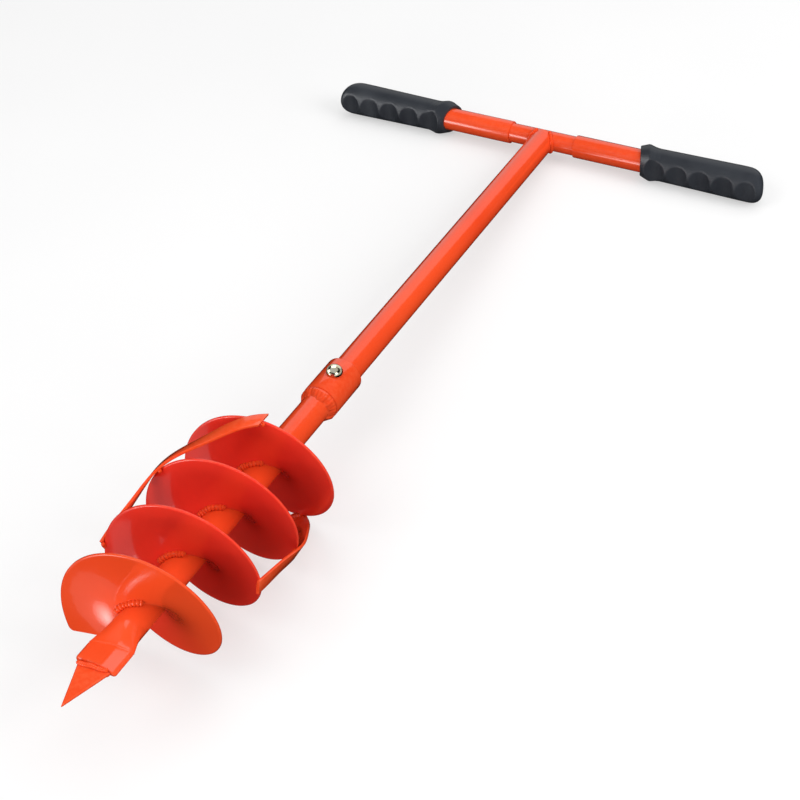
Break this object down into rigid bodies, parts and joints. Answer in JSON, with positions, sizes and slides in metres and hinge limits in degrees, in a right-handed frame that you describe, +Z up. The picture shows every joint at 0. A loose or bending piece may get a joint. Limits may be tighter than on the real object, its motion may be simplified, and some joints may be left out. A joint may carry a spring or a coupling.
{
  "type": "post hole digger",
  "caption": "Hand earth auger with a helical flight, flat blade point, two side bars, bolted socket shaft and a T handle with black finger grips.",
  "frame": {"origin": "centre of the footprint of the whole tool, on the floor it lies on", "axes": "+X along the crossbar, +Y from the blade tip towards the T handle, +Z up, with the tool lying at rest and the bolt head up"},
  "size_m": [0.475, 0.8392, 0.1417],
  "materials": {
    "enamel": "glossy orange-red enamel over steel",
    "rubber": "black satin rubber",
    "zinc": "bright yellow-passivated zinc plate"
  },
  "bodies": {
    "tool": {"auger_shaft": "enamel", "blade_weld_lower": "enamel", "blade_weld_upper": "enamel", "crossbar_core": "enamel", "flight_1": "enamel", "flight_2": "enamel", "flight_3": "enamel", "flight_4": "enamel", "flight_weld_1": "enamel", "flight_weld_2": "enamel", "flight_weld_3": "enamel", "flight_weld_4": "enamel", "grip_left": "rubber", "grip_right": "rubber", "point_blade": "enamel", "riser_tube": "enamel", "side_bar_lower": "enamel", "side_bar_upper": "enamel", "sleeve_left": "enamel", "sleeve_right": "enamel", "socket": "enamel", "socket_weld": "enamel", "tee_weld_left": "enamel", "tee_weld_right": "enamel"},
    "bolt": {"carriage_bolt": "zinc"},
    "washers": {"flat_washer": "zinc", "spring_washer": "zinc"},
    "nut": {"hex_nut": "zinc"}
  },
  "joints": [
    {"name": "bolt_slide", "type": "slide", "parent": "tool", "child": "bolt", "axis": [0.1444, 0.0842, 0.9859], "range_m": [0, 0.05]},
    {"name": "washers_slide", "type": "slide", "parent": "tool", "child": "washers", "axis": [-0.1444, -0.0842, -0.9859], "range_m": [0, 0.009]},
    {"name": "nut_turn", "type": "hinge", "parent": "washers", "child": "nut", "pos_m": [-0.00326, -0.0383, 0.03327], "axis": [-0.1444, -0.0842, -0.9859], "range_deg": [0, 3240]}
  ],
  "couplings": [
    {"joint": "nut_turn", "follows": "washers_slide", "rad_per_m": 6283.2}
  ]
}
